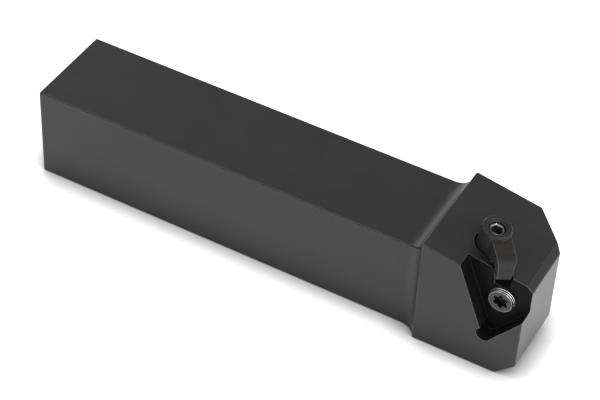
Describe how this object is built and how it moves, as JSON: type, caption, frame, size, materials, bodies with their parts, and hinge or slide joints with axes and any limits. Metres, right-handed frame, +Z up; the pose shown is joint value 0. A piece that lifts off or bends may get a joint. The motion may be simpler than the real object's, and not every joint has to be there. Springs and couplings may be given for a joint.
{
  "type": "turning tool holder",
  "caption": "Square shank turning tool holder with an enlarged head, a side pocket for an on-edge triangular insert and a screw-down top clamp.",
  "frame": {"origin": "centre of the shank's base face, without the head", "axes": "+X along the shank towards the head; +Y towards the back reference face, away from the pocket; +Z up, from the base face to the top"},
  "size_m": [0.1662, 0.0356, 0.0436],
  "materials": {
    "blackened_steel": "satin blackened steel, milled and lightly ground",
    "clamp_steel": "satin blackened steel, smooth",
    "screw_black": "black oxide steel",
    "screw_steel": "bare steel, fine turned"
  },
  "bodies": {
    "holder": {"holder_body": "blackened_steel"},
    "top_clamp": {"clamp": "clamp_steel"},
    "clamp_screw_body": {"clamp_screw": "screw_black"},
    "seat_screw_body": {"seat_screw": "screw_steel"}
  },
  "joints": [
    {"name": "clamp_lift", "type": "slide", "parent": "holder", "child": "top_clamp", "axis": [0.1736, 0, 0.9848], "range_m": [-0.001, 0.002]},
    {"name": "clamp_screw_turn", "type": "hinge", "parent": "top_clamp", "child": "clamp_screw_body", "pos_m": [0.08225, -0.0064, 0.03567], "axis": [0.1736, 0, 0.9848], "range_deg": [-180, 360]},
    {"name": "seat_screw_turn", "type": "hinge", "parent": "holder", "child": "seat_screw_body", "pos_m": [0.0908, -0.0142, 0.02465], "axis": [0, 1, 0], "range_deg": [-720, 720]}
  ],
  "couplings": [
    {"joint": "clamp_screw_turn", "follows": "clamp_lift", "rad_per_m": 3141.6}
  ]
}
